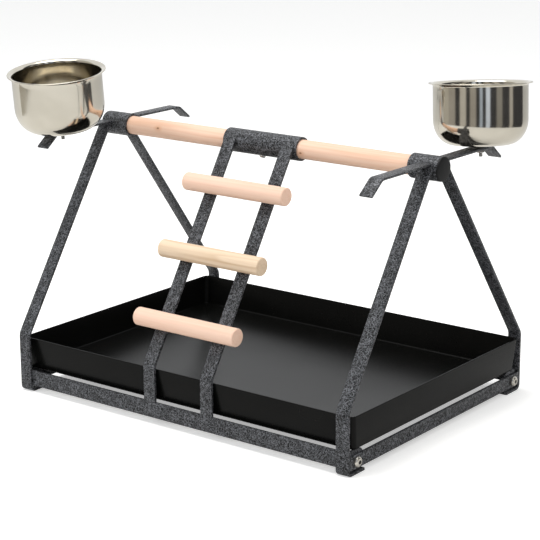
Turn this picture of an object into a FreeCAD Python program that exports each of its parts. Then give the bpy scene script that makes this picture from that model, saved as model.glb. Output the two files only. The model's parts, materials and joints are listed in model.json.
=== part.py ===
import FreeCAD, Part
import math
import os

V = FreeCAD.Vector

# Parrot play stand: two A-shaped end frames of flat strip carry a wooden perch in tube sleeves,
# a ladder leans on the perch from the front rail, a tray slides in between the legs,
# and a bowl is bolted to one arm of each end frame.
# X runs along the perch, Y to the back (the ladder is on the -Y side), Z up, floor at Z = 0.

# frame
frame_length = 433.0        # between the outer edges of the left and right legs
frame_depth = 326.0         # between the outer faces of the front and back legs
strip_width = 14.6
strip_thickness = 2.8

# legs
leg_bend_height = 64.5
leg_bend_radius = 12.0      # on the outer face
leg_step = 1.3              # a leg's outer face stands this proud of the sleeve
foot_bend_radius = 6.0      # on the outer face
foot_tab_length = 28.0
foot_hole_diameter = 3.5

# rails
front_rail_height = 17.0
front_rail_bottom = 7.0
rail_end_length = 26.0      # the bent-back ends of the front and back rails
rail_bend_radius = 5.0      # on the outer face
rail_end_corner = 7.0
side_rail_height = 14.0
side_rail_bottom = 6.0      # clear of the bend at the foot of the leg

# corner bolts
corner_bolt_diameter = 6.0
corner_bolt_from_end = 12.0     # from the inner face of the leg
corner_bolt_height = 12.8
corner_head_diameter = 11.0
corner_head_height = 3.4
corner_socket_width = 4.0
corner_socket_depth = 1.6
corner_nut_width = 10.0
corner_nut_height = 5.0
corner_bolt_overrun = 2.0

# perch and its sleeves
perch_diameter = 20.0
perch_height = 273.4
perch_offset = -10.8        # the perch stands this far towards the front
perch_middle = 2.5          # and this far to the right
perch_end_round = 1.0
sleeve_diameter = 25.0
sleeve_wall = 2.3
sleeve_length = 33.5
sleeve_overrun = 0.7        # past the outer edge of the leg, with the perch in the middle
cap_flange_thickness = 2.4
cap_plug_length = 8.0
cap_plug_wall = 1.6
cap_inset = 0.2             # the cap's edge lies this far inside the sleeve's
cap_edge_round = 1.0
cap_clearance = 0.1
perch_to_cap = 0.5

# bowl arms
arm_width = 14.6
arm_thickness = 2.2
arm_inset = 1.4             # from the outer edge of the leg
left_arm_rise = 4.5         # top face above the middle of the perch
right_arm_rise = 6.9
front_arm_reach = 115.5     # from the middle of the perch
back_arm_reach = 121.5
hook_run = 18.0
hook_drop = 14.0
hook_bend_radius = 10.0

# ladder
ladder_middle = 3.5         # the ladder stands a little right of the middle
ladder_width = 89.6
ladder_bend_height = 63.0
ladder_bend_radius = 14.0
ladder_step = 0.5           # a strip's front face stands this proud of the sleeve
ladder_sleeve_length = 95.0
perch_screw_lean = 25.0     # degrees forward of straight down

# rungs
rung_diameter = 19.0
rung_length = 130.0
top_rung_drop = 38.8        # from the middle of the perch down to the middle of the top rung
rung_spacing = 63.9
rung_flat = 0.5             # depth of the flat that seats on the strip
rung_end_round = 1.2

# wood screws, for the rungs and the perch
screw_diameter = 3.5
screw_length = 11.0
screw_head_diameter = 7.0
screw_head_height = 2.2
screw_hole_clearance = 0.05

# tray
tray_overhang = 0.5         # past the outer edges of the legs
tray_side_gap = 0.7         # to the ladder strips
tray_height = 35.0
tray_wall = 1.5
tray_end_lean = 2.0
tray_side_lean = 4.5
tray_corner_radius = 6.0
tray_foot_round = 1.4
tray_rim_round = 0.5

# bowls
bowl_rim_diameter = 105.4
bowl_body_diameter = 96.2
bowl_height = 63.3
bowl_wall = 0.8
bowl_flat_radius = 26.9
bowl_round_height = 25.8
bowl_rim_rise = 3.4
bowl_flare_out = 0.3        # the share of its flare that the rim has made at its middle point
bowl_flare_up = 0.55        # and the share of its rise
left_bowl_reach = 84.4      # from the middle of the perch to the bolt
right_bowl_reach = 91.4
bowl_seat_gap = 0.3
left_bowl_lean_out = 6.9    # degrees
left_bowl_lean_in = 1.6
right_bowl_lean_out = 4.5
right_bowl_lean_in = 4.6
bowl_bolt_diameter = 4.0
bowl_bolt_reach = 12.2      # below the bowl
bowl_head_diameter = 8.5
bowl_head_height = 2.6
bowl_hole_clearance = 0.6   # round the bolt, in the arm
bolt_fit_clearance = 0.05
bowl_nut_width = 7.0
bowl_nut_height = 3.2

head_rim_share = 0.25       # of a domed head's height, before its dome starts
head_top_share = 0.25       # of a domed head's radius, flat at its top
cut_margin = 1.0            # by which a cut runs past what it cuts
same_place = 0.01           # within which an edge counts as lying at a place

# worked out from the above
half_length = frame_length / 2
half_depth = frame_depth / 2
sleeve_radius = sleeve_diameter / 2
sleeve_bore_radius = sleeve_radius - sleeve_wall
rail_face = half_depth - strip_thickness
arm_middle = half_length - arm_inset - arm_width / 2
arm_top = {-1: perch_height + left_arm_rise, 1: perch_height + right_arm_rise}
half_span = half_length + sleeve_overrun
sleeve_end = {-1: perch_middle - half_span, 1: perch_middle + half_span}
ladder_face_distance = sleeve_radius + ladder_step
front_rail_top = front_rail_bottom + front_rail_height
corner_bolt_y = rail_face - corner_bolt_from_end
rung_radius = rung_diameter / 2
tray_length = frame_length + 2 * tray_overhang
tray_width = 2 * (half_depth - 2 * strip_thickness - tray_side_gap)


def unit(a, b):
    length = math.hypot(b[0] - a[0], b[1] - a[1])
    return ((b[0] - a[0]) / length, (b[1] - a[1]) / length)


def offset_line(points, distance):
    """The same line moved sideways, to the left of its direction."""
    moved = []
    last = len(points) - 1
    for i, point in enumerate(points):
        before = unit(points[max(i - 1, 0)], points[max(i, 1)])
        after = unit(points[min(i, last - 1)], points[min(i + 1, last)])
        normal = (-before[1] - after[1], before[0] + after[0])
        size = math.hypot(normal[0], normal[1])
        normal = (normal[0] / size, normal[1] / size)
        reach = distance / (normal[0] * -before[1] + normal[1] * before[0])
        moved.append((point[0] + normal[0] * reach, point[1] + normal[1] * reach))
    return moved


def rounded_edges(points, radii, place):
    """Straight runs joined by tangent arcs, one radius for each inner point."""
    edges = []
    start = points[0]
    for i, radius in enumerate(radii):
        corner = points[i + 1]
        before = unit(points[i], corner)
        after = unit(corner, points[i + 2])
        turn = before[0] * after[1] - before[1] * after[0]
        half = abs(math.atan2(turn, before[0] * after[0] + before[1] * after[1])) / 2
        back = radius * math.tan(half)
        first = (corner[0] - before[0] * back, corner[1] - before[1] * back)
        second = (corner[0] + after[0] * back, corner[1] + after[1] * back)
        inward = unit((0, 0), (after[0] - before[0], after[1] - before[1]))
        bulge = radius / math.cos(half) - radius
        middle = (corner[0] + inward[0] * bulge, corner[1] + inward[1] * bulge)
        edges.append(Part.LineSegment(place(start), place(first)).toShape())
        edges.append(Part.Arc(place(first), place(middle), place(second)).toShape())
        start = second
    edges.append(Part.LineSegment(place(start), place(points[-1])).toShape())
    return edges


def bent_strip(points, radii, side, thickness, place, width):
    """A strip whose outer face follows the points; side 1 puts its thickness to the left."""
    inner_points = offset_line(points, side * thickness)
    inner_radii = []
    for i, radius in enumerate(radii):
        before = unit(points[i], points[i + 1])
        after = unit(points[i + 1], points[i + 2])
        turn = math.copysign(1, before[0] * after[1] - before[1] * after[0])
        inner_radii.append(radius - turn * side * thickness)
    outer = rounded_edges(points, radii, place)
    inner = rounded_edges(inner_points, inner_radii, place)
    start_cap = Part.LineSegment(place(inner_points[0]), place(points[0])).toShape()
    end_cap = Part.LineSegment(place(points[-1]), place(inner_points[-1])).toShape()
    wire = Part.Wire(outer + [end_cap] + inner[::-1] + [start_cap])
    return Part.Face(wire).extrude(width)


def side_view(x):
    return lambda point: V(x, point[0], point[1])


def top_view(z):
    return lambda point: V(point[0], point[1], z)


def box(low, high):
    size = high - low
    return Part.makeBox(size.x, size.y, size.z, low)


def rod(radius, start, end):
    axis = end - start
    return Part.makeCylinder(radius, axis.Length, start, axis)


def perch_rod(radius, x_from, x_to):
    return rod(radius, V(x_from, perch_offset, perch_height), V(x_to, perch_offset, perch_height))


def hexagon(width, start, axis, height):
    """A nut blank, built along +Z and turned onto its axis."""
    corner = width / math.sqrt(3)
    points = []
    for i in range(7):
        angle = math.radians(60 * i)
        points.append(V(corner * math.cos(angle), corner * math.sin(angle), 0))
    blank = Part.Face(Part.makePolygon(points)).extrude(V(0, 0, height))
    cone_drop = corner - width / 2
    chamfer = Part.makeCone(corner + height - cone_drop / 2, corner - cone_drop / 2, height)
    blank = blank.common(chamfer)
    blank.Placement = FreeCAD.Placement(start, FreeCAD.Rotation(V(0, 0, 1), axis))
    return blank


def domed_head(diameter, height, start, axis):
    """A round head with its flat face at start and its dome, flat at the top, along the axis."""
    radius = diameter / 2
    rim = height * head_rim_share
    top = radius * head_top_share
    shoulder = V(top + (radius - top) * math.cos(math.pi / 4), 0,
                 rim + (height - rim) * math.sin(math.pi / 4))
    edges = [
        Part.LineSegment(V(radius, 0, 0), V(radius, 0, rim)).toShape(),
        Part.Arc(V(radius, 0, rim), shoulder, V(top, 0, height)).toShape(),
        Part.LineSegment(V(top, 0, height), V(0, 0, height)).toShape(),
        Part.LineSegment(V(0, 0, height), V(0, 0, 0)).toShape(),
        Part.LineSegment(V(0, 0, 0), V(radius, 0, 0)).toShape(),
    ]
    head = Part.Face(Part.Wire(edges)).revolve(V(0, 0, 0), V(0, 0, 1), 360)
    head.Placement = FreeCAD.Placement(start, FreeCAD.Rotation(V(0, 0, 1), axis))
    return head


def strip_angle(run, rise, face_distance):
    """The lean from upright at which a strip's face passes this far from the perch's middle."""
    reach = math.hypot(run, rise)
    return math.acos(face_distance / reach) - math.atan2(rise, run)


def rounded_rod(radius, start, end, edge_round):
    """A wooden rod with softened ends."""
    solid = rod(radius, start, end)
    ends = []
    for edge in solid.Edges:
        if edge.Curve.TypeId == "Part::GeomCircle":
            ends.append(edge)
    return solid.makeFillet(edge_round, ends)


parts = {}
sleeve_space = perch_rod(sleeve_radius, -half_length - strip_width, half_length + strip_width)


def leg(side_x, side_y):
    """side_x -1 left, 1 right; side_y -1 front, 1 back."""
    face = side_y * half_depth
    run = half_depth - side_y * perch_offset
    rise = perch_height - leg_bend_height
    lean = strip_angle(run, rise, sleeve_radius + leg_step)
    top = arm_top[side_x]
    arm_bottom = top - arm_thickness
    top_y = face - side_y * (top - leg_bend_height) * math.tan(lean)
    tab_end = face - side_y * foot_tab_length
    points = [(tab_end, 0), (face, 0), (face, leg_bend_height), (top_y, top)]
    x_low = half_length - strip_width if side_x > 0 else -half_length
    solid = bent_strip(points, [foot_bend_radius, leg_bend_radius], side_y, strip_thickness,
                       side_view(x_low), V(strip_width, 0, 0))
    above = box(V(x_low - cut_margin, -half_depth, arm_bottom),
                V(x_low + strip_width + cut_margin, half_depth, top + strip_thickness))
    solid = solid.cut(above).cut(sleeve_space)
    hole_x = x_low + strip_width / 2
    hole_y = (tab_end + face - side_y * foot_bend_radius) / 2
    hole = rod(foot_hole_diameter / 2, V(hole_x, hole_y, -cut_margin),
               V(hole_x, hole_y, strip_thickness + cut_margin))
    return solid.cut(hole)


def arm(side_x, side_y, reach):
    start = perch_offset + side_y * sleeve_radius / 2
    tip = perch_offset + side_y * reach
    top = arm_top[side_x]
    points = [(start, top), (tip - side_y * hook_run, top), (tip, top - hook_drop)]
    x_low = side_x * arm_middle - arm_width / 2
    solid = bent_strip(points, [hook_bend_radius], -side_y, arm_thickness,
                       side_view(x_low), V(arm_width, 0, 0))
    return solid.cut(sleeve_space)


def tube(x_from, x_to):
    return perch_rod(sleeve_radius, x_from, x_to).cut(perch_rod(sleeve_bore_radius, x_from, x_to))


def corner_hole(side_x, side_y):
    return rod(corner_bolt_diameter / 2 + bolt_fit_clearance,
               V(side_x * (half_length - 3 * strip_thickness), side_y * corner_bolt_y, corner_bolt_height),
               V(side_x * (half_length + cut_margin), side_y * corner_bolt_y, corner_bolt_height))


def side_rail(side_x):
    x_out = side_x * half_length
    x_in = side_x * (half_length - strip_thickness)
    solid = box(V(min(x_out, x_in), -rail_face, side_rail_bottom),
                V(max(x_out, x_in), rail_face, side_rail_bottom + side_rail_height))
    for side_y in (-1, 1):
        solid = solid.cut(corner_hole(side_x, side_y))
    return solid


def cross_rail(side_y):
    """The front rail at -1 and the back rail at 1, with both ends bent back inside the side rails."""
    face = side_y * rail_face
    end_x = half_length - strip_thickness
    end_y = face - side_y * rail_end_length
    points = [(-end_x, end_y), (-end_x, face), (end_x, face), (end_x, end_y)]
    solid = bent_strip(points, [rail_bend_radius, rail_bend_radius], -side_y, strip_thickness,
                       top_view(front_rail_bottom), V(0, 0, front_rail_height))
    corners = []
    for edge in solid.Edges:
        middle = edge.CenterOfMass
        along_x = abs(edge.Vertexes[0].X - edge.Vertexes[-1].X)
        if abs(middle.y - end_y) < same_place and along_x > same_place:
            corners.append(edge)
    solid = solid.makeFillet(rail_end_corner, corners)
    for side_x in (-1, 1):
        solid = solid.cut(corner_hole(side_x, side_y))
    return solid


def end_cap(side_x):
    """A domed disc with a hollow plug that sits in the sleeve's bore."""
    face = sleeve_end[side_x]
    outer = face + side_x * cap_flange_thickness
    flange = perch_rod(sleeve_radius - cap_inset, face, outer)
    rim = []
    for edge in flange.Edges:
        if edge.Curve.TypeId == "Part::GeomCircle" and abs(edge.CenterOfMass.x - outer) < same_place:
            rim.append(edge)
    flange = flange.makeFillet(cap_edge_round, rim)
    plug_radius = sleeve_bore_radius - cap_clearance
    inner = face - side_x * cap_plug_length
    plug = perch_rod(plug_radius, inner, face)
    plug = plug.cut(perch_rod(plug_radius - cap_plug_wall, inner, face))
    return flange.fuse(plug).removeSplitter()


# end frames
for side_x, side_name in ((-1, "left"), (1, "right")):
    parts[side_name + "_front_leg"] = leg(side_x, -1)
    parts[side_name + "_back_leg"] = leg(side_x, 1)
    parts[side_name + "_side_rail"] = side_rail(side_x)
    parts[side_name + "_sleeve"] = tube(sleeve_end[side_x] - side_x * sleeve_length, sleeve_end[side_x])
    parts[side_name + "_front_arm"] = arm(side_x, -1, front_arm_reach)
    parts[side_name + "_back_arm"] = arm(side_x, 1, back_arm_reach)
    parts[side_name + "_end_cap"] = end_cap(side_x)

parts["front_rail"] = cross_rail(-1)
parts["back_rail"] = cross_rail(1)

# corner bolts and nuts
bolts = []
nuts = []
for side_x in (-1, 1):
    for side_y in (-1, 1):
        outside = V(side_x * half_length, side_y * corner_bolt_y, corner_bolt_height)
        outward = V(side_x, 0, 0)
        nut_face = half_length - 2 * strip_thickness
        nut_end = V(side_x * (nut_face - corner_nut_height), outside.y, outside.z)
        shank_end = nut_end - outward * corner_bolt_overrun
        head = domed_head(corner_head_diameter, corner_head_height, outside, outward)
        socket_start = outside + outward * (corner_head_height - corner_socket_depth)
        head = head.cut(hexagon(corner_socket_width, socket_start, outward, corner_head_height))
        shank = rod(corner_bolt_diameter / 2, shank_end, outside)
        bolts.append(head.fuse(shank).removeSplitter())
        nut = hexagon(corner_nut_width, nut_end + outward * corner_nut_height, -outward, corner_nut_height)
        nuts.append(nut.cut(rod(corner_bolt_diameter / 2 + bolt_fit_clearance, shank_end, outside)))
parts["corner_bolts"] = Part.makeCompound(bolts)
parts["corner_nuts"] = Part.makeCompound(nuts)

# ladder: both strips stand on the front rail and lean back to the sleeve
ladder_run = rail_face + perch_offset
ladder_lean = strip_angle(ladder_run, perch_height - ladder_bend_height, ladder_face_distance)
ladder_top = perch_height + ladder_face_distance * math.sin(ladder_lean)


def ladder_face(z):
    """Where the front face of the leaning strips lies at this height."""
    return -rail_face + (z - ladder_bend_height) * math.tan(ladder_lean)


ladder_normal = V(0, -math.cos(ladder_lean), math.sin(ladder_lean))
strip_middles = (ladder_middle - ladder_width / 2 + strip_width / 2,
                 ladder_middle + ladder_width / 2 - strip_width / 2)


def ladder_strip(x_middle):
    over = ladder_top + 2 * strip_thickness
    points = [(-rail_face, front_rail_top), (-rail_face, ladder_bend_height), (ladder_face(over), over)]
    solid = bent_strip(points, [ladder_bend_radius], -1, strip_thickness,
                       side_view(x_middle - strip_width / 2), V(strip_width, 0, 0))
    above = box(V(x_middle - strip_width, -rail_face, ladder_top),
                V(x_middle + strip_width, half_depth, over + strip_thickness))
    return solid.cut(above).cut(sleeve_space)


strips = [ladder_strip(x_middle) for x_middle in strip_middles]
rungs = []
screws = []
for i, rung_name in enumerate(("rung_top", "rung_middle", "rung_bottom")):
    # the rung's middle lies its radius, less the flat, in front of the strip's face
    out = rung_radius - rung_flat
    rung_z = perch_height - top_rung_drop - i * rung_spacing
    face_z = rung_z - out * ladder_normal.z
    middle = V(ladder_middle, ladder_face(face_z), face_z) + ladder_normal * out
    along = V(rung_length / 2, 0, 0)
    rung = rounded_rod(rung_radius, middle - along, middle + along, rung_end_round)
    for s, x_middle in enumerate(strip_middles):
        rung = rung.cut(strips[s])
        seat = V(x_middle, middle.y, middle.z) - ladder_normal * out
        back = seat - ladder_normal * strip_thickness
        point = back + ladder_normal * screw_length
        hole = rod(screw_diameter / 2 + screw_hole_clearance, back - ladder_normal, point)
        strips[s] = strips[s].cut(hole)
        rung = rung.cut(hole)
        head = domed_head(screw_head_diameter, screw_head_height, back, ladder_normal * -1)
        screws.append(head.fuse(rod(screw_diameter / 2, back, point)).removeSplitter())
    parts[rung_name] = rung
parts["ladder_left_strip"] = strips[0]
parts["ladder_right_strip"] = strips[1]
parts["rung_screws"] = Part.makeCompound(screws)

# perch, its ladder sleeve and the screw that holds it
perch_end = half_span - cap_plug_length - perch_to_cap
perch = rounded_rod(perch_diameter / 2, V(perch_middle - perch_end, perch_offset, perch_height),
                    V(perch_middle + perch_end, perch_offset, perch_height), perch_end_round)
ladder_sleeve = tube(ladder_middle - ladder_sleeve_length / 2, ladder_middle + ladder_sleeve_length / 2)
screw_down = V(0, -math.sin(math.radians(perch_screw_lean)), -math.cos(math.radians(perch_screw_lean)))
perch_centre = V(ladder_middle, perch_offset, perch_height)
head_seat = perch_centre + screw_down * sleeve_radius
screw_point = head_seat - screw_down * screw_length
screw_hole = rod(screw_diameter / 2 + screw_hole_clearance, head_seat + screw_down, screw_point)
screw_head = domed_head(screw_head_diameter, screw_head_height, head_seat, screw_down)
perch_screw = screw_head.fuse(rod(screw_diameter / 2, head_seat, screw_point))
perch_screw = perch_screw.cut(sleeve_space.cut(screw_hole))
parts["perch"] = perch.cut(screw_hole)
parts["ladder_sleeve"] = ladder_sleeve.cut(screw_hole)
parts["perch_screw"] = perch_screw.removeSplitter()


def tray_block(length, width, end_lean, side_lean, bottom, top, corner):
    """A block that widens towards its top, with rounded upright corners."""
    faces = []
    for z, grow in ((bottom, 0), (top, 1)):
        x = length / 2 - end_lean * (1 - grow)
        y = width / 2 - side_lean * (1 - grow)
        outline = Part.makePolygon([V(-x, -y, z), V(x, -y, z), V(x, y, z), V(-x, y, z), V(-x, -y, z)])
        faces.append(outline)
    block = Part.makeLoft(faces, True, True)
    upright = []
    for edge in block.Edges:
        if abs(edge.Vertexes[0].Z - edge.Vertexes[-1].Z) > same_place:
            upright.append(edge)
    return block.makeFillet(corner, upright)


def tray_shell():
    bottom = front_rail_top
    top = bottom + tray_height
    outer = tray_block(tray_length, tray_width, tray_end_lean, tray_side_lean, bottom, top,
                       tray_corner_radius)
    foot = []
    for edge in outer.Edges:
        if abs(edge.CenterOfMass.z - bottom) < same_place:
            foot.append(edge)
    outer = outer.makeFillet(tray_foot_round, foot)
    inner = tray_block(tray_length - 2 * tray_wall, tray_width - 2 * tray_wall, tray_end_lean,
                       tray_side_lean, bottom, top, tray_corner_radius - tray_wall)
    floor = box(V(-half_length, -half_depth, bottom - cut_margin),
                V(half_length, half_depth, bottom + tray_wall))
    shell = outer.cut(inner.cut(floor))
    rim = []
    for edge in shell.Edges:
        if abs(edge.CenterOfMass.z - top) < same_place:
            rim.append(edge)
    return shell.makeFillet(tray_rim_round, rim)


parts["tray"] = tray_shell()


def bowl_round(inset):
    """The quarter ellipse from the flat bottom to the straight body, moved in by the wall."""
    middle = V(bowl_flat_radius, 0, bowl_round_height)
    across = bowl_body_diameter / 2 - inset - bowl_flat_radius
    down = bowl_round_height - inset
    ends = [middle + V(across, 0, 0), middle - V(0, 0, down)]
    if down > across:
        ends.reverse()
    return Part.ArcOfEllipse(Part.Ellipse(ends[0], ends[1], middle), 0, math.pi / 2).toShape()


def bowl(wall):
    """A spun cup: flat bottom, large round, straight body and a flared rim."""
    rim = bowl_rim_diameter / 2
    body = bowl_body_diameter / 2
    neck = bowl_height - bowl_rim_rise
    inner = body - wall
    slant = wall * math.sin(math.pi / 4)
    flare = V(body + (rim - body) * bowl_flare_out, 0, neck + bowl_rim_rise * bowl_flare_up)
    inner_flare = flare + V(-slant, 0, slant)
    lip_low = V(rim, 0, bowl_height - wall)
    lip_high = V(rim - (wall - slant), 0, bowl_height)
    edges = [
        Part.LineSegment(V(0, 0, 0), V(bowl_flat_radius, 0, 0)).toShape(),
        bowl_round(0),
        Part.LineSegment(V(body, 0, bowl_round_height), V(body, 0, neck)).toShape(),
        Part.Arc(V(body, 0, neck), flare, lip_low).toShape(),
        Part.LineSegment(lip_low, lip_high).toShape(),
        Part.Arc(lip_high, inner_flare, V(inner, 0, neck)).toShape(),
        Part.LineSegment(V(inner, 0, neck), V(inner, 0, bowl_round_height)).toShape(),
        bowl_round(wall),
        Part.LineSegment(V(bowl_flat_radius, 0, wall), V(0, 0, wall)).toShape(),
        Part.LineSegment(V(0, 0, wall), V(0, 0, 0)).toShape(),
    ]
    outline = Part.Wire(Part.__sortEdges__(edges))
    return Part.Face(outline).revolve(V(0, 0, 0), V(0, 0, 1), 360)


# bowls: each leans outward on its arm, with its bolt square to its own bottom
hook_slope = math.atan2(hook_drop, hook_run)
for side_x, side_name, side_y, arm_reach, bowl_reach, lean_out, lean_in in (
        (-1, "left", -1, front_arm_reach, left_bowl_reach, left_bowl_lean_out, left_bowl_lean_in),
        (1, "right", 1, back_arm_reach, right_bowl_reach, right_bowl_lean_out, right_bowl_lean_in)):
    tip_out = math.sin(math.radians(lean_out))
    tip_in = math.sin(math.radians(lean_in))
    axis = V(-side_x * tip_in, side_y * tip_out, 0)
    axis.z = math.sqrt(1 - axis.x ** 2 - axis.y ** 2)
    # the bottom leans on the arm where its hook starts to bend down, and on the arm's inner edge
    flat_end = arm_reach - hook_run - hook_bend_radius * math.tan(hook_slope / 2) - bowl_reach
    touch = min(bowl_flat_radius, flat_end + hook_bend_radius * math.tan(math.radians(lean_out) / 2))
    lift = tip_out * touch + tip_in * arm_width / 2 + bowl_seat_gap
    seat = V(side_x * arm_middle, perch_offset + side_y * bowl_reach, arm_top[side_x] + lift)
    turn = FreeCAD.Placement(seat, FreeCAD.Rotation(V(0, 0, 1), axis))
    bolt_radius = bowl_bolt_diameter / 2
    shank_end = V(0, 0, -bowl_bolt_reach)
    head_base = V(0, 0, bowl_wall)
    shank = rod(bolt_radius, shank_end, head_base)
    bolt = domed_head(bowl_head_diameter, bowl_head_height, head_base, V(0, 0, 1)).fuse(shank)
    cup = bowl(bowl_wall).cut(rod(bolt_radius + bolt_fit_clearance, shank_end, V(0, 0, bowl_height)))
    nut_tilt = bowl_nut_width / math.sqrt(3) * (tip_out + tip_in)
    nut_top = -lift - arm_thickness - nut_tilt - bowl_seat_gap
    nut = hexagon(bowl_nut_width, V(0, 0, nut_top), V(0, 0, -1), bowl_nut_height)
    nut = nut.cut(rod(bolt_radius + bolt_fit_clearance, shank_end, head_base))
    arm_name = side_name + ("_front_arm" if side_y < 0 else "_back_arm")
    clearance_hole = rod(bolt_radius + bowl_hole_clearance, shank_end, head_base)
    clearance_hole.Placement = turn
    parts[arm_name] = parts[arm_name].cut(clearance_hole)
    for piece_name, piece in (("_bowl", cup), ("_bowl_bolt", bolt.removeSplitter()), ("_bowl_nut", nut)):
        piece.Placement = turn.multiply(piece.Placement)
        parts[side_name + piece_name] = piece

os.makedirs("parts", exist_ok=True)
for name, shape in parts.items():
    shape.exportStep("parts/" + name + ".step")
    state = "valid" if shape.isValid() else "NOT VALID"
    print(name, len(shape.Solids), "solids", round(shape.Volume), "mm3", state)
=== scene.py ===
import bpy
import bmesh
import json
import math
from mathutils import Matrix, Vector


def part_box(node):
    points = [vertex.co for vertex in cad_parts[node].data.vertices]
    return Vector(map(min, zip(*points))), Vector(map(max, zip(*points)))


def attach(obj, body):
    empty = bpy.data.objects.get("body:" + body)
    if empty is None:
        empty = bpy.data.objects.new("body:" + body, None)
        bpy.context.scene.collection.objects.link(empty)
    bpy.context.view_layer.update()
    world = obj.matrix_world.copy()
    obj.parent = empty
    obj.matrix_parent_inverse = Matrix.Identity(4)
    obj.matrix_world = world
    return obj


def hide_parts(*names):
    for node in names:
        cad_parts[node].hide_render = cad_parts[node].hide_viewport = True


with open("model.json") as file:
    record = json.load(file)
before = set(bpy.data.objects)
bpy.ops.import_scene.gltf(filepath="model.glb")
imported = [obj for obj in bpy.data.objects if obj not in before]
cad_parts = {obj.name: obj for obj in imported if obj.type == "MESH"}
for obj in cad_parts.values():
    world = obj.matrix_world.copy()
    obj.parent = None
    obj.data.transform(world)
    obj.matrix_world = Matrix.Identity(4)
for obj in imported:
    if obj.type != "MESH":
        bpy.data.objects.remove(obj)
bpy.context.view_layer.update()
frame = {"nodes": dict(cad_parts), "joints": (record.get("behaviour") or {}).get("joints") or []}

mm = 0.001

# camera at the photo's angle: place in metres, turns in degrees, lens and sensor in millimetres
cameraView = {
    "place": (1.1023, -1.4438, 0.6266),
    "pitchDown": 15.164,
    "turn": 37.356,
    "roll": -0.224,
    "lens": 117.34,
    "sensor": 36.0,
}


def makeCamera():
    pitch = math.radians(cameraView["pitchDown"])
    turn = math.radians(cameraView["turn"])
    roll = math.radians(cameraView["roll"])
    forward = Vector((-math.sin(turn) * math.cos(pitch), math.cos(turn) * math.cos(pitch), -math.sin(pitch)))
    right = Vector((math.cos(turn), math.sin(turn), 0))
    up = right.cross(forward)
    rolledRight = right * math.cos(roll) + up * math.sin(roll)
    rolledUp = up * math.cos(roll) - right * math.sin(roll)
    turned = Matrix((rolledRight, rolledUp, -forward)).transposed().to_4x4()
    data = bpy.data.cameras.new("standCamera")
    data.sensor_fit = "HORIZONTAL"
    data.sensor_width = cameraView["sensor"]
    data.lens = cameraView["lens"]
    data.clip_end = 50
    camera = bpy.data.objects.new("standCamera", data)
    camera.matrix_world = Matrix.Translation(cameraView["place"]) @ turned
    bpy.context.scene.collection.objects.link(camera)
    bpy.context.scene.camera = camera


makeCamera()
print("camera placed")


# node helpers
def addNode(tree, kind, **values):
    node = tree.nodes.new(kind)
    for name, value in values.items():
        setattr(node, name, value)
    return node


def newGroup(name, inputs, outputs):
    group = bpy.data.node_groups.new(name, "ShaderNodeTree")
    for label, socketType, default in inputs:
        socket = group.interface.new_socket(name=label, in_out="INPUT", socket_type=socketType)
        if default is not None:
            socket.default_value = default
    for label, socketType in outputs:
        group.interface.new_socket(name=label, in_out="OUTPUT", socket_type=socketType)
    return group, group.nodes.new("NodeGroupInput"), group.nodes.new("NodeGroupOutput")


def mathNode(tree, operation, first, second=None, clamp=False):
    node = addNode(tree, "ShaderNodeMath", operation=operation, use_clamp=clamp)
    for slot, value in enumerate((first, second)):
        if value is None:
            continue
        if isinstance(value, (int, float)):
            node.inputs[slot].default_value = value
        else:
            tree.links.new(value, node.inputs[slot])
    return node.outputs[0]


def mixColor(tree, factor, first, second):
    node = addNode(tree, "ShaderNodeMix", data_type="RGBA")
    for slot, value in ((0, factor), (6, first), (7, second)):
        if isinstance(value, (int, float)):
            node.inputs[slot].default_value = value
        elif isinstance(value, tuple):
            node.inputs[slot].default_value = (*value, 1)
        else:
            tree.links.new(value, node.inputs[slot])
    return node.outputs[2]


def stepUp(tree, value, low, high):
    node = addNode(tree, "ShaderNodeMapRange", interpolation_type="SMOOTHSTEP")
    tree.links.new(value, node.inputs["Value"])
    for name, edge in (("From Min", low), ("From Max", high)):
        if isinstance(edge, (int, float)):
            node.inputs[name].default_value = edge
        else:
            tree.links.new(edge, node.inputs[name])
    return node.outputs["Result"]


def noiseNode(tree, vector, scale, detail=2.0, roughness=0.5, distortion=0.0):
    node = addNode(tree, "ShaderNodeTexNoise")
    tree.links.new(vector, node.inputs["Vector"])
    for name, value in (("Scale", scale), ("Detail", detail), ("Roughness", roughness),
                        ("Distortion", distortion)):
        if isinstance(value, (int, float)):
            node.inputs[name].default_value = value
        else:
            tree.links.new(value, node.inputs[name])
    return node.outputs["Fac"]


def mappedCoords(tree, location=(0, 0, 0), rotation=(0, 0, 0)):
    coords = addNode(tree, "ShaderNodeTexCoord")
    mapping = addNode(tree, "ShaderNodeMapping")
    mapping.inputs["Location"].default_value = location
    mapping.inputs["Rotation"].default_value = rotation
    tree.links.new(coords.outputs["Object"], mapping.inputs["Vector"])
    return mapping.outputs["Vector"]


def newMaterial(name, **fixed):
    material = bpy.data.materials.new(name)
    material.use_nodes = True
    shader = material.node_tree.nodes["Principled BSDF"]
    for label, value in fixed.items():
        shader.inputs[label.replace("_", " ")].default_value = value
    return material, material.node_tree, shader


def bumpFrom(tree, shader, height, strength, distance):
    bump = addNode(tree, "ShaderNodeBump")
    bump.inputs["Strength"].default_value = strength
    bump.inputs["Distance"].default_value = distance
    tree.links.new(height, bump.inputs["Height"])
    tree.links.new(bump.outputs["Normal"], shader.inputs["Normal"])


def placeGroup(tree, group, vector, **values):
    node = addNode(tree, "ShaderNodeGroup", node_tree=group)
    tree.links.new(vector, node.inputs["Vector"])
    for label, value in values.items():
        node.inputs[label.replace("_", " ")].default_value = value
    return node


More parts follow.
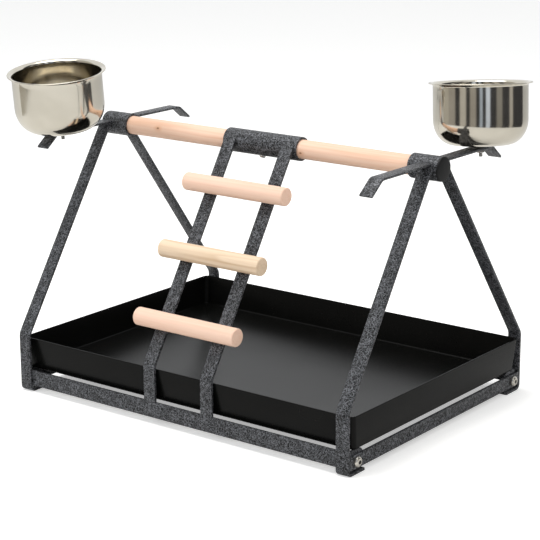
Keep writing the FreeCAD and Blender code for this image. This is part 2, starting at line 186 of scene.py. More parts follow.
# light winding veins of flake on a dark ground, as hammered paint sets
def makeVeinGroup():
    group, source, sink = newGroup(
        "hammeredVeins",
        (("Vector", "NodeSocketVector", None), ("Scale", "NodeSocketFloat", 400.0),
         ("Width", "NodeSocketFloat", 0.1)),
        (("Veins", "NodeSocketFloat"), ("Height", "NodeSocketFloat"), ("Patches", "NodeSocketFloat")))
    vector = source.outputs["Vector"]
    ridges = []
    for factor, seedShift in ((1.0, 0.0), (1.45, 3.7)):
        shift = addNode(group, "ShaderNodeVectorMath", operation="ADD")
        group.links.new(vector, shift.inputs[0])
        shift.inputs[1].default_value = (seedShift, seedShift, seedShift)
        scale = mathNode(group, "MULTIPLY", source.outputs["Scale"], factor)
        cloud = noiseNode(group, shift.outputs[0], scale, detail=1.2, roughness=0.45, distortion=0.6)
        away = mathNode(group, "ABSOLUTE", mathNode(group, "SUBTRACT", cloud, 0.5))
        near = mathNode(group, "DIVIDE", away, source.outputs["Width"])
        ridges.append(mathNode(group, "SUBTRACT", 1.0, near, clamp=True))
    strong = stepUp(group, ridges[0], 0.1, 0.75)
    faint = mathNode(group, "MULTIPLY", stepUp(group, ridges[1], 0.3, 0.9), 0.5)
    veins = mathNode(group, "MAXIMUM", strong, faint)
    patches = noiseNode(group, vector, mathNode(group, "MULTIPLY", source.outputs["Scale"], 0.22))
    group.links.new(veins, sink.inputs["Veins"])
    group.links.new(mathNode(group, "POWER", veins, 0.7), sink.inputs["Height"])
    group.links.new(patches, sink.inputs["Patches"])
    return group


# growth rings about a pith that lies off the rod's middle, with long streaks
def makeGrainGroup():
    group, source, sink = newGroup(
        "rodGrain",
        (("Vector", "NodeSocketVector", None), ("Rings", "NodeSocketFloat", 420.0),
         ("Waver", "NodeSocketFloat", 0.004)),
        (("Rings", "NodeSocketFloat"), ("Streaks", "NodeSocketFloat"), ("Pores", "NodeSocketFloat")))
    stretch = addNode(group, "ShaderNodeVectorMath", operation="MULTIPLY")
    group.links.new(source.outputs["Vector"], stretch.inputs[0])
    stretch.inputs[1].default_value = (0.08, 1, 1)
    wander = noiseNode(group, stretch.outputs[0], 60.0, detail=2.0)
    flat = addNode(group, "ShaderNodeVectorMath", operation="MULTIPLY")
    group.links.new(source.outputs["Vector"], flat.inputs[0])
    flat.inputs[1].default_value = (0.03, 1, 1)
    length = addNode(group, "ShaderNodeVectorMath", operation="LENGTH")
    group.links.new(flat.outputs[0], length.inputs[0])
    bent = mathNode(group, "ADD", length.outputs["Value"],
                    mathNode(group, "MULTIPLY", wander, source.outputs["Waver"]))
    turns = mathNode(group, "FRACT", mathNode(group, "MULTIPLY", bent, source.outputs["Rings"]))
    late = mathNode(group, "POWER", turns, 2.5)
    fall = mathNode(group, "SUBTRACT", 1.0, stepUp(group, turns, 0.86, 1.0))
    group.links.new(mathNode(group, "MULTIPLY", late, fall), sink.inputs["Rings"])
    long = addNode(group, "ShaderNodeVectorMath", operation="MULTIPLY")
    group.links.new(source.outputs["Vector"], long.inputs[0])
    long.inputs[1].default_value = (0.03, 1, 1)
    group.links.new(noiseNode(group, long.outputs[0], 260.0, detail=3.0, roughness=0.6),
                    sink.inputs["Streaks"])
    group.links.new(noiseNode(group, stretch.outputs[0], 2200.0, detail=1.0), sink.inputs["Pores"])
    return group


# a knot: a dark heart with a warm halo, round a point on the rod's surface
def makeKnotGroup():
    group, source, sink = newGroup(
        "rodKnot",
        (("Vector", "NodeSocketVector", None), ("Middle", "NodeSocketVector", None),
         ("Size", "NodeSocketFloat", 0.003)),
        (("Heart", "NodeSocketFloat"), ("Halo", "NodeSocketFloat")))
    away = addNode(group, "ShaderNodeVectorMath", operation="SUBTRACT")
    group.links.new(source.outputs["Vector"], away.inputs[0])
    group.links.new(source.outputs["Middle"], away.inputs[1])
    squeeze = addNode(group, "ShaderNodeVectorMath", operation="MULTIPLY")
    group.links.new(away.outputs[0], squeeze.inputs[0])
    squeeze.inputs[1].default_value = (0.62, 1, 1)
    length = addNode(group, "ShaderNodeVectorMath", operation="LENGTH")
    group.links.new(squeeze.outputs[0], length.inputs[0])
    ragged = noiseNode(group, source.outputs["Vector"], 700.0, detail=2.0)
    share = mathNode(group, "DIVIDE", length.outputs["Value"], source.outputs["Size"])
    rough = mathNode(group, "ADD", share, mathNode(group, "MULTIPLY", ragged, 0.35))
    group.links.new(mathNode(group, "SUBTRACT", 1.0, stepUp(group, rough, 0.35, 0.85)),
                    sink.inputs["Heart"])
    group.links.new(mathNode(group, "SUBTRACT", 1.0, stepUp(group, rough, 0.6, 2.6)),
                    sink.inputs["Halo"])
    return group


# fine handling marks and uneven polish
def makePolishGroup():
    group, source, sink = newGroup(
        "unevenPolish",
        (("Vector", "NodeSocketVector", None), ("Scale", "NodeSocketFloat", 60.0),
         ("Low", "NodeSocketFloat", 0.2), ("High", "NodeSocketFloat", 0.3)),
        (("Roughness", "NodeSocketFloat"), ("Grain", "NodeSocketFloat")))
    broad = noiseNode(group, source.outputs["Vector"], source.outputs["Scale"], detail=3.0)
    spread = mathNode(group, "SUBTRACT", source.outputs["High"], source.outputs["Low"])
    lift = mathNode(group, "MULTIPLY", broad, spread)
    group.links.new(mathNode(group, "ADD", source.outputs["Low"], lift), sink.inputs["Roughness"])
    fine = mathNode(group, "MULTIPLY", source.outputs["Scale"], 24.0)
    group.links.new(noiseNode(group, source.outputs["Vector"], fine, detail=1.0), sink.inputs["Grain"])
    return group


veinGroup = makeVeinGroup()
grainGroup = makeGrainGroup()
knotGroup = makeKnotGroup()
polishGroup = makePolishGroup()

hammeredCoat = {
    "scale": 400.0,
    "width": 0.075,
    "ground": (0.0025, 0.0026, 0.003),
    "vein": (0.17, 0.175, 0.19),
    "metal": 0.3,
    "bumpHeight": 0.0002,
}


def makeHammered():
    material, tree, shader = newMaterial("hammeredCoat", Specular_IOR_Level=0.28, IOR=1.5)
    vector = mappedCoords(tree)
    veins = placeGroup(tree, veinGroup, vector, Scale=hammeredCoat["scale"], Width=hammeredCoat["width"])
    patchy = stepUp(tree, veins.outputs["Patches"], 0.25, 0.7)
    amount = mathNode(tree, "MULTIPLY", veins.outputs["Veins"],
                      mathNode(tree, "ADD", mathNode(tree, "MULTIPLY", patchy, 0.35), 0.7), clamp=True)
    tree.links.new(mixColor(tree, amount, hammeredCoat["ground"], hammeredCoat["vein"]),
                   shader.inputs["Base Color"])
    tree.links.new(mathNode(tree, "MULTIPLY", amount, hammeredCoat["metal"]), shader.inputs["Metallic"])
    rough = mathNode(tree, "SUBTRACT", 0.46, mathNode(tree, "MULTIPLY", amount, 0.12))
    tree.links.new(rough, shader.inputs["Roughness"])
    bumpFrom(tree, shader, veins.outputs["Height"], 0.55, hammeredCoat["bumpHeight"])
    return material


woods = {
    "perchWood": {"pale": (0.90, 0.62, 0.47), "dark": (0.80, 0.45, 0.28), "rings": 380.0, "ringDepth": 0.4},
    "peachRung": {"pale": (0.90, 0.63, 0.49), "dark": (0.82, 0.49, 0.34), "rings": 430.0, "ringDepth": 0.3},
    "strawRung": {"pale": (0.84, 0.66, 0.48), "dark": (0.62, 0.42, 0.25), "rings": 620.0, "ringDepth": 0.62},
}
knotTones = {"halo": (0.74, 0.38, 0.20), "haloShare": 0.55, "heart": (0.24, 0.10, 0.045), "heartShare": 0.85}


def makeWood(name, wood, pith, knots):
    material, tree, shader = newMaterial(name, Specular_IOR_Level=0.35, IOR=1.45)
    vector = mappedCoords(tree, location=(0, -pith[1], -pith[2]))
    grain = placeGroup(tree, grainGroup, vector, Rings=wood["rings"], Waver=0.005)
    deep = mathNode(tree, "MULTIPLY", grain.outputs["Rings"], wood["ringDepth"])
    streaks = mathNode(tree, "MULTIPLY", stepUp(tree, grain.outputs["Streaks"], 0.42, 0.75), 0.45)
    amount = mathNode(tree, "ADD", deep, streaks, clamp=True)
    color = mixColor(tree, amount, wood["pale"], wood["dark"])
    plain = mappedCoords(tree)
    for middle, size in knots:
        knot = placeGroup(tree, knotGroup, plain, Middle=middle, Size=size)
        halo = mathNode(tree, "MULTIPLY", knot.outputs["Halo"], knotTones["haloShare"])
        color = mixColor(tree, halo, color, knotTones["halo"])
        heart = mathNode(tree, "MULTIPLY", knot.outputs["Heart"], knotTones["heartShare"])
        color = mixColor(tree, heart, color, knotTones["heart"])
    tree.links.new(color, shader.inputs["Base Color"])
    rough = mathNode(tree, "ADD", 0.5, mathNode(tree, "MULTIPLY", grain.outputs["Streaks"], 0.14))
    tree.links.new(rough, shader.inputs["Roughness"])
    bumpFrom(tree, shader, mathNode(tree, "ADD", grain.outputs["Pores"], deep), 0.25, 0.00008)
    return material


trayFinish = {"color": (0.003, 0.0031, 0.0028), "worn": (0.0042, 0.0043, 0.0039), "low": 0.2, "high": 0.27}


def makeTrayFinish():
    finish = trayFinish
    material, tree, shader = newMaterial("trayGloss", Specular_IOR_Level=0.11, IOR=1.47)
    vector = mappedCoords(tree)
    polish = placeGroup(tree, polishGroup, vector, Scale=14.0, Low=finish["low"], High=finish["high"])
    dusty = stepUp(tree, noiseNode(tree, vector, 30.0, detail=4.0), 0.45, 0.8)
    tree.links.new(mixColor(tree, dusty, finish["color"], finish["worn"]), shader.inputs["Base Color"])
    tree.links.new(polish.outputs["Roughness"], shader.inputs["Roughness"])
    bumpFrom(tree, shader, polish.outputs["Grain"], 0.12, 0.00004)
    return material


# the steel's colour with a warm beige tint that is partly a painted reflection of warm surroundings; the
# duller colour is a random smear
bowlSteelWithWarmReflectionTint = {"color": (0.66, 0.62, 0.535), "dull": (0.57, 0.53, 0.45), "low": 0.06, "high": 0.12}


# the pattern stands on the bowl's own axis, so the fine lines run round it
def makeBowlFinish(name, seat, axis):
    finish = bowlSteelWithWarmReflectionTint
    material, tree, shader = newMaterial(name, Metallic=1.0)
    lean = axis.rotation_difference(Vector((0, 0, 1)))
    vector = mappedCoords(tree, location=-(lean @ seat), rotation=lean.to_euler())
    parts = addNode(tree, "ShaderNodeSeparateXYZ")
    tree.links.new(vector, parts.inputs[0])
    height = addNode(tree, "ShaderNodeCombineXYZ")
    tree.links.new(parts.outputs["Z"], height.inputs["Z"])
    lines = noiseNode(tree, height.outputs[0], 2600.0, detail=2.0)
    polish = placeGroup(tree, polishGroup, vector, Scale=40.0, Low=finish["low"], High=finish["high"])
    smear = stepUp(tree, noiseNode(tree, vector, 26.0, detail=3.0), 0.35, 0.75)
    # base colour: steel with the painted warm reflection tint, smeared at random toward a duller tone
    tree.links.new(mixColor(tree, smear, finish["color"], finish["dull"]), shader.inputs["Base Color"])
    rough = mathNode(tree, "ADD", polish.outputs["Roughness"], mathNode(tree, "MULTIPLY", lines, 0.05))
    tree.links.new(rough, shader.inputs["Roughness"])
    bumpFrom(tree, shader, lines, 0.05, 0.00002)
    return material


def makePlated(name, color, low, high):
    material, tree, shader = newMaterial(name, Metallic=1.0)
    vector = mappedCoords(tree)
    polish = placeGroup(tree, polishGroup, vector, Scale=260.0, Low=low, High=high)
    stain = stepUp(tree, noiseNode(tree, vector, 420.0, detail=3.0), 0.5, 0.8)
    dull = tuple(channel * 0.72 for channel in color)
    tree.links.new(mixColor(tree, stain, color, dull), shader.inputs["Base Color"])
    tree.links.new(polish.outputs["Roughness"], shader.inputs["Roughness"])
    bumpFrom(tree, shader, polish.outputs["Grain"], 0.1, 0.00002)
    return material


capFinish = {"color": (0.007, 0.007, 0.0073), "worn": (0.01, 0.01, 0.0103), "low": 0.4, "high": 0.52}


def makeCapPlastic():
    finish = capFinish
    material, tree, shader = newMaterial("capPlastic", Specular_IOR_Level=0.22, IOR=1.5)
    vector = mappedCoords(tree)
    polish = placeGroup(tree, polishGroup, vector, Scale=120.0, Low=finish["low"], High=finish["high"])
    tone = stepUp(tree, noiseNode(tree, vector, 160.0), 0.3, 0.8)
    tree.links.new(mixColor(tree, tone, finish["color"], finish["worn"]), shader.inputs["Base Color"])
    tree.links.new(polish.outputs["Roughness"], shader.inputs["Roughness"])
    bumpFrom(tree, shader, polish.outputs["Grain"], 0.2, 0.00005)
    return material


hammered = makeHammered()
trayGloss = makeTrayFinish()
capPlastic = makeCapPlastic()
zincPlate = makePlated("zincPlate", (0.66, 0.63, 0.57), 0.22, 0.34)
steelPlate = makePlated("steelPlate", (0.58, 0.57, 0.55), 0.2, 0.3)
print("materials made")


# mesh helpers
def finishPiece(name, bm, material, body, nodes, smoothAngle=40):
    bmesh.ops.recalc_face_normals(bm, faces=bm.faces)
    mesh = bpy.data.meshes.new(name)
    bm.to_mesh(mesh)
    bm.free()
    mesh.materials.append(material)
    for polygon in mesh.polygons:
        polygon.use_smooth = True
    mesh.set_sharp_from_angle(angle=math.radians(smoothAngle))
    piece = bpy.data.objects.new(name, mesh)
    bpy.context.scene.collection.objects.link(piece)
    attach(piece, body)
    if nodes:
        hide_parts(*nodes)


def turnTo(axis):
    return Vector((0, 0, 1)).rotation_difference(Vector(axis)).to_matrix().to_4x4()


# (radius, height) points turned about the Z axis, joined end to start where they begin off it
def spunMesh(outline, steps):
    bm = bmesh.new()
    verts = [bm.verts.new((radius, 0, height)) for radius, height in outline]
    for first, second in zip(verts, verts[1:]):
        bm.edges.new((first, second))
    if outline[0][0] > 0:
        bm.edges.new((verts[-1], verts[0]))
    bmesh.ops.spin(bm, geom=bm.verts[:] + bm.edges[:], cent=(0, 0, 0), axis=(0, 0, 1),
                   angle=math.tau, steps=steps, use_merge=True)
    bmesh.ops.remove_doubles(bm, verts=bm.verts, dist=1e-6)
    return bm


def arcPoints(middle, radius, start, end, count):
    points = []
    for i in range(count + 1):
        angle = math.radians(start + (end - start) * i / count)
        points.append((middle[0] + radius[0] * math.cos(angle), middle[1] + radius[1] * math.sin(angle)))
    return points


def placeMesh(bm, origin, axis, spinBy=0.0):
    turned = turnTo(axis) @ Matrix.Rotation(spinBy, 4, "Z")
    bmesh.ops.transform(bm, matrix=Matrix.Translation(origin) @ turned, verts=bm.verts)
    return bm


def joinMeshes(meshes):
    joined = bmesh.new()
    for bm in meshes:
        mesh = bpy.data.meshes.new("joining")
        bm.to_mesh(mesh)
        bm.free()
        joined.from_mesh(mesh)
        bpy.data.meshes.remove(mesh)
    return joined


# flat strips: the made shape with its edges eased, as under a thick coat
stripEdges = {"ease": 0.45 * mm, "segments": 2, "sharpAngle": 35, "flatAngle": 1.0}


def easedCopy(node):
    bm = bmesh.new()
    bm.from_mesh(frame["nodes"][node].data)
    bmesh.ops.remove_doubles(bm, verts=bm.verts, dist=0.002 * mm)
    bmesh.ops.dissolve_limit(bm, angle_limit=math.radians(stripEdges["flatAngle"]), verts=bm.verts,
                             edges=bm.edges, delimit={"NORMAL"})
    sharp = []
    for edge in bm.edges:
        if len(edge.link_faces) == 2 and edge.calc_face_angle(0) > math.radians(stripEdges["sharpAngle"]):
            sharp.append(edge)
    bmesh.ops.bevel(bm, geom=sharp, offset=stripEdges["ease"], offset_type="OFFSET", affect="EDGES",
                    segments=stripEdges["segments"], profile=0.5, material=-1, clamp_overlap=True)
    return bm


stripNodes = ["front_rail", "back_rail", "ladder_left_strip", "ladder_right_strip"]
for side in ("left", "right"):
    for part in ("front_leg", "back_leg", "side_rail", "front_arm", "back_arm"):
        stripNodes.append(side + "_" + part)

for node in stripNodes:
    finishPiece(node + "_coated", easedCopy(node), hammered, "stand", [node], smoothAngle=50)
print("strips eased")

# tube sleeves round the perch
sleeve = {"wall": 2.3 * mm, "edge": 0.6 * mm, "steps": 96, "rings": 12}


def tubeMesh(radius, bore, length):
    edge = sleeve["edge"]
    outline = arcPoints((radius - edge, edge), (edge, edge), -90, 0, 4)
    for i in range(1, sleeve["rings"]):
        outline.append((radius, length * i / sleeve["rings"]))
    outline += arcPoints((radius - edge, length - edge), (edge, edge), 0, 90, 4)
    outline += arcPoints((bore + edge, length - edge), (edge, edge), 90, 180, 4)
    outline += arcPoints((bore + edge, edge), (edge, edge), 180, 270, 4)
    return spunMesh(outline, sleeve["steps"])


def rodPlace(node):
    low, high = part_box(node)
    middle = (low + high) / 2
    return low, high, middle, (high.z - low.z) / 2


for node in ("left_sleeve", "right_sleeve", "ladder_sleeve"):
    low, high, middle, radius = rodPlace(node)
    bm = tubeMesh(radius, radius - sleeve["wall"], high.x - low.x)
    placeMesh(bm, (low.x, middle.y, middle.z), (1, 0, 0))
    finishPiece(node + "_tube", bm, hammered, "stand", [node])
print("sleeves made")

# wooden rods: perch and rungs
rod = {"edge": 1.3 * mm, "steps": 72, "rings": 40, "uneven": 0.10 * mm}


def rodMesh(radius, length, seed):
    edge = rod["edge"]
    outline = [(0, 0)] + arcPoints((radius - edge, edge), (edge, edge), -90, 0, 5)
    for i in range(1, rod["rings"]):
        outline.append((radius, length * i / rod["rings"]))
    outline += arcPoints((radius - edge, length - edge), (edge, edge), 0, 90, 5) + [(0, length)]
    bm = spunMesh(outline, rod["steps"])
    for vert in bm.verts:  # a turned rod is a little uneven along its length, never larger
        wave = math.sin(vert.co.z * 31 + seed) + math.sin(vert.co.z * 83 + seed * 2.3)
        angle = math.atan2(vert.co.y, vert.co.x)
        pull = rod["uneven"] * (0.5 + 0.125 * wave + 0.25 * math.cos(2 * angle + vert.co.z * 20 + seed))
        across = math.hypot(vert.co.x, vert.co.y)
        if across > radius * 0.5:
            vert.co.x *= 1 - pull / radius
            vert.co.y *= 1 - pull / radius
    return bm


def woodenRod(node, woodName, wood, seed, pithShift, knots):
    low, high, middle, radius = rodPlace(node)
    pith = (0, middle.y + pithShift[0] * mm, middle.z + pithShift[1] * mm)
    places = []
    for along, angle, size in knots:
        turn = math.radians(angle)
        place = (along, middle.y + radius * math.cos(turn), middle.z + radius * math.sin(turn))
        places.append((place, size))
    material = makeWood(woodName, woods[wood], pith, places)
    bm = rodMesh(radius, high.x - low.x, seed)
    placeMesh(bm, (low.x, middle.y, middle.z), (1, 0, 0))
    finishPiece(node + "_rod", bm, material, "stand", [node])


# knots: place along X in metres, angle about the rod from +Y, size in metres
perchKnots = ((-0.1365, 165, 0.0021), (0.0555, 192, 0.0019), (0.121, 60, 0.002), (-0.06, 20, 0.0018))
woodenRod("perch", "perchWood", "perchWood", 1.0, (4, 9), perchKnots)
woodenRod("rung_top", "peachRungTop", "peachRung", 2.0, (1, 5), ((-0.03, 40, 0.0015),))
woodenRod("rung_middle", "strawRungMiddle", "strawRung", 3.0, (3, -2), ((0.0665, 80, 0.001),))
woodenRod("rung_bottom", "peachRungBottom", "peachRung", 4.0, (2, 4), ((0.02, 300, 0.0014),))
print("rods made")

# end caps: a slightly domed disc with a hollow plug
cap = {"dome": 0.5 * mm, "edge": 0.9 * mm, "flange": 2.4 * mm, "plugWall": 1.6 * mm, "plugGap": 2.1 * mm,
       "plugEdge": 0.4 * mm, "steps": 72}

for side, outward in (("left", -1), ("right", 1)):
    low, high, middle, radius = rodPlace(side + "_end_cap")
    face = low.x if outward < 0 else high.x
    length = high.x - low.x
    edge = cap["edge"]
    plug = radius - cap["plugGap"]
    plugEdge = cap["plugEdge"]
    plugTop = cap["flange"]
    outline = [(0, 0), (radius * 0.45, cap["dome"] * 0.25), (radius * 0.8, cap["dome"] * 0.7)]
    outline += arcPoints((radius - edge, cap["dome"] + edge), (edge, edge), -90, 0, 5)
    outline += [(radius, plugTop), (plug, plugTop), (plug, length - plugEdge), (plug - plugEdge, length)]
    outline += [(plug - cap["plugWall"], length), (plug - cap["plugWall"], plugTop), (0, plugTop)]
    bm = placeMesh(spunMesh(outline, cap["steps"]), (face, middle.y, middle.z), (-outward, 0, 0))
    finishPiece(side + "_end_cap_moulded", bm, capPlastic, "stand", [side + "_end_cap"])
print("caps made")

# screws, bolts and nuts
screwHead = {"steps": 36, "rim": 0.25, "rings": 7, "recessDeep": 0.5}


def socketRing(kind, size):
    points = []
    if kind == "hex":
        for i in range(6):
            points.append((size * math.cos(math.radians(60 * i)), size * math.sin(math.radians(60 * i))))
    else:  # a cross
        arm, half = size, size * 0.3
        corner = [(arm, -half), (arm, half), (half, half)]
        for i in range(4):
            across, up = math.cos(math.radians(90 * i)), math.sin(math.radians(90 * i))
            for x, y in corner:
                points.append((x * across - y * up, x * up + y * across))
    return points


# a domed head above a threaded or plain shank, along +Z with the head's seat at zero
def boltMesh(headRadius, headHeight, shankRadius, shankLength, kind, recess, pitch=0.0):
    rim = headHeight * screwHead["rim"]
    top = max(recess * 1.25, headRadius * 0.4)
    outline = []
    if pitch:
        turns = int(shankLength / pitch)
        for i in range(turns):
            low = -shankLength + i * pitch
            outline.append((shankRadius * 0.84, low))
            outline.append((shankRadius, low + pitch * 0.5))
        outline[0] = (0, -shankLength)
        outline.insert(1, (shankRadius * 0.7, -shankLength))
        outline.append((shankRadius * 0.84, 0))
    else:
        outline += [(0, -shankLength), (shankRadius * 0.55, -shankLength)]
        outline += [(shankRadius, -shankLength * 0.85), (shankRadius, 0)]
    outline.append((headRadius * 0.97, 0))
    for i in range(screwHead["rings"] + 1):
        share = i / screwHead["rings"]
        outline.append((headRadius - (headRadius - top) * (1 - math.cos(share * math.pi / 2)),
                        rim + (headHeight - rim) * math.sin(share * math.pi / 2)))
    bm = spunMesh(outline, screwHead["steps"])
    ring = [e for e in bm.edges if e.is_boundary]
    hole = []
    for x, y in socketRing(kind, recess):
        hole.append(bm.verts.new((x, y, headHeight)))
    mouth = [bm.edges.new((hole[i], hole[(i + 1) % len(hole)])) for i in range(len(hole))]
    bmesh.ops.bridge_loops(bm, edges=ring + mouth)
    down = bmesh.ops.extrude_edge_only(bm, edges=mouth)
    lowered = [v for v in down["geom"] if isinstance(v, bmesh.types.BMVert)]
    bmesh.ops.translate(bm, verts=lowered, vec=(0, 0, -headHeight * screwHead["recessDeep"]))
    floorEdges = [e for e in down["geom"] if isinstance(e, bmesh.types.BMEdge)
                  and all(v in lowered for v in e.verts)]
    bmesh.ops.edgeloop_fill(bm, edges=floorEdges)
    return bm


def nutMesh(width, height, bore):
    corner = width / math.sqrt(3)
    bm = bmesh.new()
    loops = []
    for radius, z, count in ((bore, 0, 24), (corner * 0.92, 0, 6), (corner, height * 0.14, 6),
                             (corner, height * 0.86, 6), (corner * 0.92, height, 6), (bore, height, 24)):
        made = bmesh.ops.create_circle(bm, cap_ends=False, segments=count, radius=radius,
                                       matrix=Matrix.Translation((0, 0, z)))
        edges = set()
        for vert in made["verts"]:
            edges.update(vert.link_edges)
        loops.append(list(edges))
    for first, second in zip(loops, loops[1:] + loops[:1]):
        bmesh.ops.bridge_loops(bm, edges=first + second)
    return bm


# corner bolts with hex sockets, and their nuts inside the frame
cornerBolt = {"head": 5.5 * mm, "headHeight": 3.4 * mm, "shank": 3.0 * mm, "recess": 2.2 * mm,
              "nutWidth": 10 * mm, "nutHeight": 5 * mm, "overrun": 2 * mm, "pitch": 1 * mm}
low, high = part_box("corner_bolts")
nutLow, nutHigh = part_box("corner_nuts")
boltZ = (low.z + high.z) / 2
bolts, nuts = [], []
for i, (sideX, sideY) in enumerate(((-1, -1), (-1, 1), (1, -1), (1, 1))):
    seatX = sideX * (high.x - cornerBolt["headHeight"])
    boltY = sideY * (high.y - cornerBolt["head"])
    nutFace = sideX * nutHigh.x
    shankLength = abs(seatX) - abs(nutFace) + cornerBolt["nutHeight"] + cornerBolt["overrun"]
    bm = boltMesh(cornerBolt["head"], cornerBolt["headHeight"], cornerBolt["shank"], shankLength, "hex",
                  cornerBolt["recess"], cornerBolt["pitch"])
    bolts.append(placeMesh(bm, (seatX, boltY, boltZ), (sideX, 0, 0), math.radians(17 * i + 9)))
    nut = nutMesh(cornerBolt["nutWidth"], cornerBolt["nutHeight"], cornerBolt["shank"] * 0.98)
    nuts.append(placeMesh(nut, (nutFace, boltY, boltZ), (-sideX, 0, 0), math.radians(23 * i)))
finishPiece("corner_bolts_domed", joinMeshes(bolts), zincPlate, "stand", ["corner_bolts"],
            smoothAngle=35)
finishPiece("corner_nuts_hex", joinMeshes(nuts), zincPlate, "stand", ["corner_nuts"],
            smoothAngle=25)

# wood screws: six behind the ladder and one under its sleeve
woodScrew = {"head": 3.5 * mm, "headHeight": 2.2 * mm, "shank": 1.75 * mm, "length": 11 * mm,
             "recess": 1.5 * mm, "strip": 2.8 * mm, "flat": 0.5 * mm, "perchLean": 25}
rungMiddles = []
for node in ("rung_bottom", "rung_middle", "rung_top"):
    low, high, middle, radius = rodPlace(node)
    rungMiddles.append(middle)
rungRadius = radius
alongLadder = (rungMiddles[2] - rungMiddles[0]).normalized()
ladderFront = Vector((0, -alongLadder.z, alongLadder.y))
screws = []
for i, middle in enumerate(rungMiddles):
    for s, strip in enumerate(("ladder_left_strip", "ladder_right_strip")):
        low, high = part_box(strip)
        back = middle - ladderFront * (rungRadius - woodScrew["flat"] + woodScrew["strip"])
        back.x = (low.x + high.x) / 2
        bm = boltMesh(woodScrew["head"], woodScrew["headHeight"], woodScrew["shank"], woodScrew["length"],
                      "cross", woodScrew["recess"])
        screws.append(placeMesh(bm, back, -ladderFront, math.radians(31 * i + 47 * s)))
finishPiece("rung_screws_domed", joinMeshes(screws), steelPlate, "stand", ["rung_screws"],
            smoothAngle=35)

low, high, perchMiddle, sleeveRadius = rodPlace("ladder_sleeve")
lean = math.radians(woodScrew["perchLean"])
screwDown = Vector((0, -math.sin(lean), -math.cos(lean)))
bm = boltMesh(woodScrew["head"], woodScrew["headHeight"], woodScrew["shank"], woodScrew["length"], "cross",
              woodScrew["recess"])
placeMesh(bm, perchMiddle + screwDown * sleeveRadius, screwDown, 0.4)
finishPiece("perch_screw_domed", bm, steelPlate, "stand", ["perch_screw"], smoothAngle=35)
print("fasteners made")

# weld beads, as wavy rods with rounded ends, along X where strips meet tubes and rails
weld = {"radius": 1.1 * mm, "ripple": 0.16, "pitch": 2.1 * mm, "steps": 14, "rings": 26,
        "legInner": 11.0 * mm, "legBend": 64.5 * mm, "legStand": 0.3 * mm, "armDrop": 2.2 * mm,
        "armStand": 0.2 * mm, "armShare": 0.8, "stripShare": 0.6, "inset": 0.6 * mm}


def beadMesh(start, length, radius):
    outline = [(0, 0)]
    for i in range(1, weld["rings"]):
        along = length * i / weld["rings"]
        fromEnd = min(along, length - along)
        end = 1.0
        if fromEnd < radius:
            end = math.sqrt(max(0.0, 1 - (1 - fromEnd / radius) ** 2))
        wave = 1 - weld["ripple"] * abs(math.sin(along / weld["pitch"] * math.pi))
        outline.append((radius * end * wave, along))
    outline.append((0, length))
    return placeMesh(spunMesh(outline, weld["steps"]), start, (1, 0, 0))


beads = []
perchAxis = rodPlace("perch")[2]
tubeRadius = rodPlace("left_sleeve")[3]
inset = weld["inset"]
for side in ("left", "right"):
    for end, sideY in (("front", -1), ("back", 1)):
        low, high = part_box(side + "_" + end + "_leg")
        run = abs((high.y if sideY > 0 else low.y) - perchAxis.y)
        lean = math.atan2(perchAxis.z - weld["legBend"], run)
        inner = weld["legInner"]
        stand = weld["legStand"]
        below = math.sqrt(tubeRadius ** 2 - inner ** 2)
        outwards = Vector((0, sideY * math.sin(lean), math.cos(lean)))
        downwards = Vector((0, sideY * math.cos(lean), -math.sin(lean)))
        place = perchAxis + outwards * (inner - stand) + downwards * (below + stand)
        place.x = low.x + inset
        beads.append(beadMesh(place, high.x - low.x - 2 * inset, weld["radius"]))
        armLow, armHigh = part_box(side + "_" + end + "_arm")
        under = armHigh.z - weld["armDrop"] - perchAxis.z
        reach = math.sqrt(tubeRadius ** 2 - under ** 2)
        stand = weld["armStand"]
        place = Vector((armLow.x + inset, perchAxis.y + sideY * (reach + stand), perchAxis.z + under - stand))
        beads.append(beadMesh(place, armHigh.x - armLow.x - 2 * inset, weld["radius"] * weld["armShare"]))
for strip in ("ladder_left_strip", "ladder_right_strip"):
    low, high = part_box(strip)
    place = Vector((low.x + inset, low.y + woodScrew["strip"], low.z + weld["armStand"]))
    beads.append(beadMesh(place, high.x - low.x - 2 * inset, weld["radius"] * weld["stripShare"]))
finishPiece("weld_beads", joinMeshes(beads), hammered, "stand", [], smoothAngle=60)
print("welds made")

# tray: one sheet, walls leaning out, rounded corners and foot
tray = {"wall": 1.5 * mm, "endLean": 2.0 * mm, "sideLean": 4.5 * mm, "corner": 6.0 * mm, "foot": 2.6 * mm,
        "rim": 0.5 * mm}


